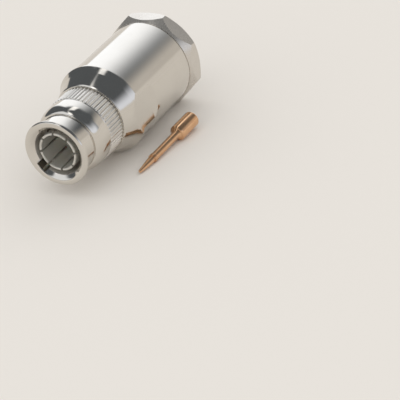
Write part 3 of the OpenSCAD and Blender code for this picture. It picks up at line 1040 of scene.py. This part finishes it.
@dataclass
class CableClamp:
    """Braid clamp, gasket, slip washer and the octagonal clamp nut."""

    fits: Fits = field(default_factory=Fits)
    chamber: float = 7.37
    braid_start: float = 14.13
    braid_flange: float = 1.2
    braid_nose: float = 2.7
    core_hole: float = 3.7
    nose: float = 4.95
    gasket_hole: float = 5.2
    gasket_start: float = 15.36
    gasket_end: float = 20.77
    groove: float = 0.8
    slip_start: float = 20.8
    slip_end: float = 21.6
    cable_hole: float = 5.4
    spigot_front: float = 21.63
    thread: float = 7.9
    thread_root: float = 7.3
    pitch: float = 1.0
    turns: float = 4.9
    head_front: float = 28.13
    head_rear: float = 32.13
    head_flat: float = 9.55
    head_start: float = 9.25
    head_end: float = 9.3
    bevel_angle: float = 30.0
    cable_bevel: float = 0.6

    def build_braid_clamp(self, brass: Material) -> None:
        """Builds the flanged cone under which the braid is folded back.

        Args:
            brass: Finish of the cone.
        """
        step = self.braid_start + self.braid_flange
        outline = [(self.braid_start, self.core_hole), (self.braid_start, self.chamber), (step, self.chamber),
                   (step, self.nose), (step + self.braid_nose, self.core_hole + 0.4),
                   (step + self.braid_nose, self.core_hole)]
        piece = turned("braid_clamp_turned", eased(outline, 0.05), 128)
        dress(piece, brass)
        place(piece, Body.PLUG, Slot.BARE_BRASS, "braid_clamp")

    def build_gasket(self, rubber: Material) -> None:
        """Builds the rubber ring with a V groove in each end.

        Args:
            rubber: Finish of the ring.
        """
        mid = (self.gasket_hole + self.chamber) / 2
        outline = [(self.gasket_start, self.gasket_hole), (self.gasket_start + self.groove, mid),
                   (self.gasket_start, self.chamber), (self.gasket_end, self.chamber),
                   (self.gasket_end - self.groove, mid), (self.gasket_end, self.gasket_hole)]
        piece = turned("cable_gasket_moulded", eased(outline, 0.15), 128)
        dress(piece, rubber)
        place(piece, Body.PLUG, Slot.GASKET_RUBBER, "cable_gasket")

    def build_slip_washer(self, steel: Material) -> None:
        """Builds the washer that keeps the turning nut from twisting the gasket.

        Args:
            steel: Finish of the washer.
        """
        outline = [(self.slip_start, self.cable_hole), (self.slip_start, self.chamber),
                   (self.slip_end, self.chamber), (self.slip_end, self.cable_hole)]
        piece = turned("slip_washer_turned", eased(outline, 0.08), 128)
        dress(piece, steel)
        place(piece, Body.CLAMP_CARRIER, Slot.SPRING_STEEL, "slip_washer")

    def octagon(self) -> list[Point]:
        """Gives the head's eight-sided outline with its corners just broken.

        Returns:
            Corners of the outline, in order.
        """
        corner = self.head_flat / math.cos(math.pi / 8)
        sharp = [(corner * math.cos(a), corner * math.sin(a))
                 for a in (math.pi / 8 + math.pi / 4 * i for i in range(8))]
        lifted = [(y, z + 100) for y, z in sharp]
        return [(self.spigot_front - 1, y, z - 100) for y, z in eased(lifted, 0.16, 4)]

    def build_clamp_nut(self, thread: NodeTree, plate: Material) -> None:
        """Builds the octagonal nut, mills its head and winds its thread.

        Args:
            thread: Group that winds a thread.
            plate: Finish of the nut.
        """
        bevel, root = self.pitch / 2, self.thread_root
        clear = self.head_flat + 1
        front_run = (clear - self.head_start) / math.tan(math.radians(self.bevel_angle))
        outline = [
            (self.spigot_front, self.cable_hole), (self.spigot_front, root - 0.2),
            (self.spigot_front + bevel, root), (self.head_front, root),
            (self.head_front, self.head_start), (self.head_front + front_run, clear),
            (self.head_rear - (clear - self.head_end), clear), (self.head_rear, self.head_end),
            (self.head_rear, self.cable_hole + self.cable_bevel),
            (self.head_rear - self.cable_bevel, self.cable_hole),
        ]
        nut = turned("clamp_nut_turned", eased(outline, 0.07), 256)
        bar = extruded("octagon_bar", self.octagon(), (self.head_rear - self.spigot_front + 3, 0, 0))
        machine(nut, [bar], Cut.KEEP)
        dress(nut, plate)
        place(nut, Body.CLAMP, Slot.PLATED_BRASS, "clamp_nut")
        height = self.thread - 0.02 - root + 0.05
        ridge = run_group(
            "clamp_nut_thread", thread,
            {"Radius": (root - 0.05 + height / 2) * MM, "Start": (self.spigot_front + 0.55) * MM,
             "Turns": self.turns, "Pitch": self.pitch * MM, "Height": height * MM, "Finish": plate},
        )
        place(ridge, Body.CLAMP, Slot.PLATED_BRASS)

    def build(self, thread: NodeTree, finishes: dict[str, Material]) -> None:
        """Builds, dresses and places the whole cable clamp.

        Args:
            thread: Group that winds a thread.
            finishes: Finish of each kind of surface.
        """
        self.build_braid_clamp(finishes["brass"])
        self.build_gasket(finishes["rubber"])
        self.build_slip_washer(finishes["steel"])
        self.build_clamp_nut(thread, finishes["milled"])


@dataclass
class CentreContact:
    """The loose contact: tapered tip, collar, shank and barrel with its solder bore."""

    length: float = 19.3
    tip: float = 0.675
    tip_length: float = 4.6
    point: float = 0.35
    shank: float = 0.8
    collar: float = 0.9
    barrel: float = 1.65
    barrel_length: float = 5.85
    barrel_round: float = 0.45
    bore: float = 1.2
    bore_deep: float = 4.8
    cross_hole: float = 0.5
    tip_x: float = 1.9
    beside: float = 0.85
    plug_radius: float = 9.55
    turn: float = -5.5

    def lay(self) -> Matrix:
        """Gives the place of the contact, at rest on its collar and its barrel's edge.

        Returns:
            The matrix that lays it there.
        """
        run = self.length - self.barrel_length + self.barrel_round - self.tip_length
        rise = self.barrel - self.barrel_round - self.collar
        lean = math.atan2(rise, run) + math.asin(self.barrel_round / math.hypot(run, rise))
        z = -self.plug_radius + self.collar * math.cos(lean) - self.tip_length * math.sin(lean)
        spot = Vector((self.tip_x, -self.plug_radius - self.beside, z)) * MM
        turn = Matrix.Rotation(math.radians(self.turn), 4, "Z")
        return Matrix.Translation(spot) @ turn @ Matrix.Rotation(-lean, 4, "Y")

    def build(self, gold: Material) -> None:
        """Builds, dresses and places the contact.

        Args:
            gold: Finish of the contact.
        """
        barrel_x = self.length - self.barrel_length
        soft = self.barrel_round
        outline = [(0.0, 0.0)] + arc(self.point, 0.0, self.point, 180, 90, 10)[1:] + [
            (self.tip_length * 0.75, self.tip), (self.tip_length, self.tip), (self.tip_length, self.collar),
            (self.tip_length + 0.7, self.collar), (self.tip_length + 0.9, self.shank),
            (barrel_x - 0.5, self.shank), (barrel_x, self.shank + 0.5),
        ]
        outline += arc(barrel_x + soft, self.barrel - soft, soft, 180, 90, 8)
        outline += arc(self.length - soft, self.barrel - soft, soft, 90, 0, 8)
        outline += [(self.length, self.bore), (self.length - self.bore_deep, self.bore),
                    (self.length - self.bore_deep - 0.4, 0.0)]
        contact = turned("centre_contact_turned", eased(outline, 0.05), 128)
        drill = turned("cross_drill", [(0, 0), (0, self.cross_hole), (3.3, self.cross_hole), (3.3, 0)], 32)
        side = Matrix.Rotation(math.radians(-120), 4, "X") @ Matrix.Rotation(-math.pi / 2, 4, "Y")
        drill.data.transform(Matrix.Translation(((self.length - self.bore_deep + 0.9) * MM, 0, 0)) @ side)
        machine(contact, [drill])
        contact.data.transform(self.lay())
        dress(contact, gold)
        place(contact, Body.PLUG, Slot.GOLD_PLATE, "centre_contact")


# ---------------------------------------------------------------- the studio


class Gauge(str, Enum):
    """What a soft box's first pair of edges is measured by."""

    BEARING = "bearing"
    ACROSS = "across"


Edges = tuple[float, float, float, float]


@dataclass(frozen=True)
class SoftBox:
    """A glowing patch of the surround, with soft edges in degrees.

    Each set of edges says where the glow starts, is full, starts to fade and ends.
    """

    colour: str
    strength: float
    width: Edges
    height: Edges
    gauge: Gauge = Gauge.BEARING


# Large soft box behind the plug on its left, with a long fade over its right edge.
KEY_BOX = SoftBox("#F7FAFF", 1.4, (-36, 32, 47, 55), (-40, -20, 42, 60))
# Pale wall low on the right.
RIGHT_WALL = SoftBox("#F1E8DC", 0.62, (-60, -50, -10, 10), (0, 4, 15, 36))
# Long strip low along the plug's right side, and one that runs overhead.
SIDE_STRIP = SoftBox("#EEF3FF", 1.0, (-155, -120, -80, -45), (-2, 9, 13, 40))
TOP_STRIP = SoftBox("#FFFFFF", 1.3, (-9, -3, 3, 9), (45, 56, 69, 80), Gauge.ACROSS)
# Soft box in front on the left, which lights the faces that look away from the rear.
FRONT_BOX = SoftBox("#F4F6FA", 0.95, (112, 128, 165, 178), (6, 14, 52, 64))


@dataclass
class Studio:
    """Plain pale table that sweeps up behind, soft boxes and the camera."""

    floor_z: float = -9.55
    floor_half: float = 3000.0
    camera_at: Point = (-274.697, -203.94, 173.356)
    heading: float = 33.215
    dip: float = 29.507
    roll: float = -11.04
    lens: float = 180.0
    plain_light: str = "#FFFFFF"
    dark_wall: str = "#5E6266"
    table: str = "#E8E3DC"
    sweep: tuple[float, float] = (9.0, 5.0)
    top_lean: float = 8.5
    boxes: tuple[SoftBox, ...] = (KEY_BOX, RIGHT_WALL, SIDE_STRIP, TOP_STRIP, FRONT_BOX)

    def add_camera(self) -> None:
        """Adds the camera at its place, pointed by heading, dip and roll."""
        heading, dip = math.radians(self.heading), math.radians(self.dip)
        level = math.cos(dip)
        ahead = Vector((level * math.cos(heading), level * math.sin(heading), -math.sin(dip)))
        right = ahead.cross(Vector((0, 0, 1))).normalized()
        up = right.cross(ahead)
        roll = Matrix.Rotation(math.radians(self.roll), 3, "Z")
        turn = Matrix((right, up, -ahead)).transposed() @ roll
        data = bpy.data.cameras.new("camera")
        data.lens = self.lens
        data.sensor_width = 36.0
        data.clip_start = 0.01
        data.clip_end = 20.0
        camera = bpy.data.objects.new("camera", data)
        camera.matrix_world = Matrix.Translation(Vector(self.camera_at) * MM) @ turn.to_4x4()
        bpy.context.scene.collection.objects.link(camera)
        bpy.context.scene.camera = camera

    def add_floor(self) -> None:
        """Adds the plain pale table, which the camera and the metal see alike."""
        bm = bmesh.new()
        half = self.floor_half
        corners = ((-half, -half), (half, -half), (half, half), (-half, half))
        bm.faces.new([bm.verts.new((x, y, self.floor_z)) for x, y in corners])
        floor = finish_mesh("table", bm)
        paper = bpy.data.materials.new("pale_paper")
        paper.use_nodes = True
        tree = paper.node_tree
        tree.nodes.clear()
        matt = add_node(tree, "ShaderNodeBsdfDiffuse", {"Color": linear(self.table)})
        add_node(tree, "ShaderNodeOutputMaterial", {"Surface": matt.outputs[0]})
        dress(floor, paper)

    def fade(self, tree: NodeTree, angle: NodeSocket, start: float, full: float) -> NodeSocket:
        """Gives a smooth rise from 0 at start degrees to 1 at full degrees."""
        return add_node(
            tree, "ShaderNodeMapRange",
            {"Value": angle, "From Min": math.radians(start), "From Max": math.radians(full)},
            interpolation_type="SMOOTHSTEP",
        ).outputs[0]

    def window(self, tree: NodeTree, angle: NodeSocket, edges: Edges) -> NodeSocket:
        """Gives 1 between two soft edges and 0 outside them.

        Args:
            tree: The tree that gets the window.
            angle: The angle to test, in radians.
            edges: Where the window starts, is full, starts to fade and ends, in degrees.

        Returns:
            The window's output socket.
        """
        start, full, fade, end = edges
        both = add_node(
            tree, "ShaderNodeMath",
            {0: self.fade(tree, angle, start, full), 1: self.fade(tree, angle, fade, end)}, operation="SUBTRACT",
        )
        return both.outputs[0]

    def add_world(self) -> None:
        """Adds the surround that camera, metal and glass see, and plain light for the rest."""
        world = bpy.data.worlds.new("studio")
        bpy.context.scene.world = world
        world.use_nodes = True
        world.cycles.sampling_method = "NONE"
        tree = world.node_tree
        tree.nodes.clear()
        coords = add_node(tree, "ShaderNodeTexCoord")
        parts = add_node(tree, "ShaderNodeSeparateXYZ", {0: coords.outputs["Generated"]})
        bearing = add_node(
            tree, "ShaderNodeMath", {0: parts.outputs["Y"], 1: parts.outputs["X"]}, operation="ARCTAN2"
        )
        height = add_node(tree, "ShaderNodeMath", {0: parts.outputs["Z"]}, operation="ARCSINE")
        lean = math.radians(self.top_lean)
        side = add_node(
            tree, "ShaderNodeVectorMath",
            {0: coords.outputs["Generated"], 1: (0.0, math.cos(lean), -math.sin(lean))},
            operation="DOT_PRODUCT",
        )
        across = add_node(tree, "ShaderNodeMath", {0: side.outputs["Value"]}, operation="ARCSINE")
        gauges = {Gauge.BEARING: bearing.outputs[0], Gauge.ACROSS: across.outputs[0]}
        total = add_node(tree, "ShaderNodeRGB").outputs[0]
        total.default_value = (*linear(self.dark_wall), 1.0)
        for box in self.boxes:
            wide = self.window(tree, gauges[box.gauge], box.width)
            tall = self.window(tree, height.outputs[0], box.height)
            patch = add_node(tree, "ShaderNodeMath", {0: wide, 1: tall}, operation="MULTIPLY")
            colour = tuple(channel * box.strength for channel in linear(box.colour))
            glow = add_node(
                tree, "ShaderNodeVectorMath", {0: colour, "Scale": patch.outputs[0]}, operation="SCALE"
            )
            both = add_node(tree, "ShaderNodeVectorMath", {0: total, 1: glow.outputs[0]}, operation="ADD")
            total = both.outputs[0]
        total = add_node(
            tree, "ShaderNodeMix",
            {0: self.fade(tree, height.outputs[0], *self.sweep), 6: total, 7: linear(self.table)},
            data_type="RGBA",
        ).outputs[2]
        path = add_node(tree, "ShaderNodeLightPath")
        seen = path.outputs["Is Camera Ray"]
        for ray in ("Is Glossy Ray", "Is Transmission Ray"):
            either = add_node(tree, "ShaderNodeMath", {0: seen, 1: path.outputs[ray]}, operation="MAXIMUM")
            seen = either.outputs[0]
        plain = add_node(tree, "ShaderNodeBackground", {"Color": linear(self.plain_light)})
        surround = add_node(tree, "ShaderNodeBackground", {"Color": total})
        sky = add_node(tree, "ShaderNodeMixShader", {0: seen, 1: plain.outputs[0], 2: surround.outputs[0]})
        add_node(tree, "ShaderNodeOutputWorld", {"Surface": sky.outputs[0]})

    def build(self) -> None:
        """Builds the whole studio."""
        self.add_camera()
        self.add_floor()
        self.add_world()


def main() -> None:
    """Builds the pieces in order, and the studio."""
    logging.basicConfig(level=logging.INFO, format="%(message)s")
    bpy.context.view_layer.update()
    scene = bpy.context.scene
    scene.view_settings.view_transform = "Standard"
    copies, thread = ring_of_copies(), thread_helix()
    finishes = {
        "nickel": NICKEL.build(), "knurl": NICKEL_KNURL.build(), "milled": NICKEL_MILLED.build(),
        "bore": NICKEL_BORE_LIGHTENED.build(), "silver": SILVER.build(), "gold": GOLD.build(),
        "brass": BRASS.build(), "steel": STEEL.build(), "bronze": BRONZE.build(),
        "ptfe": PTFE.build(), "silicone": SILICONE.build(), "rubber": RUBBER.build(),
    }
    CouplingNut().build(copies, finishes)
    PlugBody().build(finishes["nickel"])
    MatingFace().build(copies, finishes["silver"], finishes["silicone"])
    Insulators().build(finishes["ptfe"])
    CableClamp().build(thread, finishes)
    CentreContact().build(finishes["gold"])
    CouplingSpring().build(finishes["bronze"])
    for node, finish in (("retaining_ring", "bronze"), ("front_thrust_washer", "steel"),
                         ("rear_thrust_washer", "steel")):
        dress(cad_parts[node], finishes[finish])
    Studio().build()


if __name__ == "__main__":
    main()
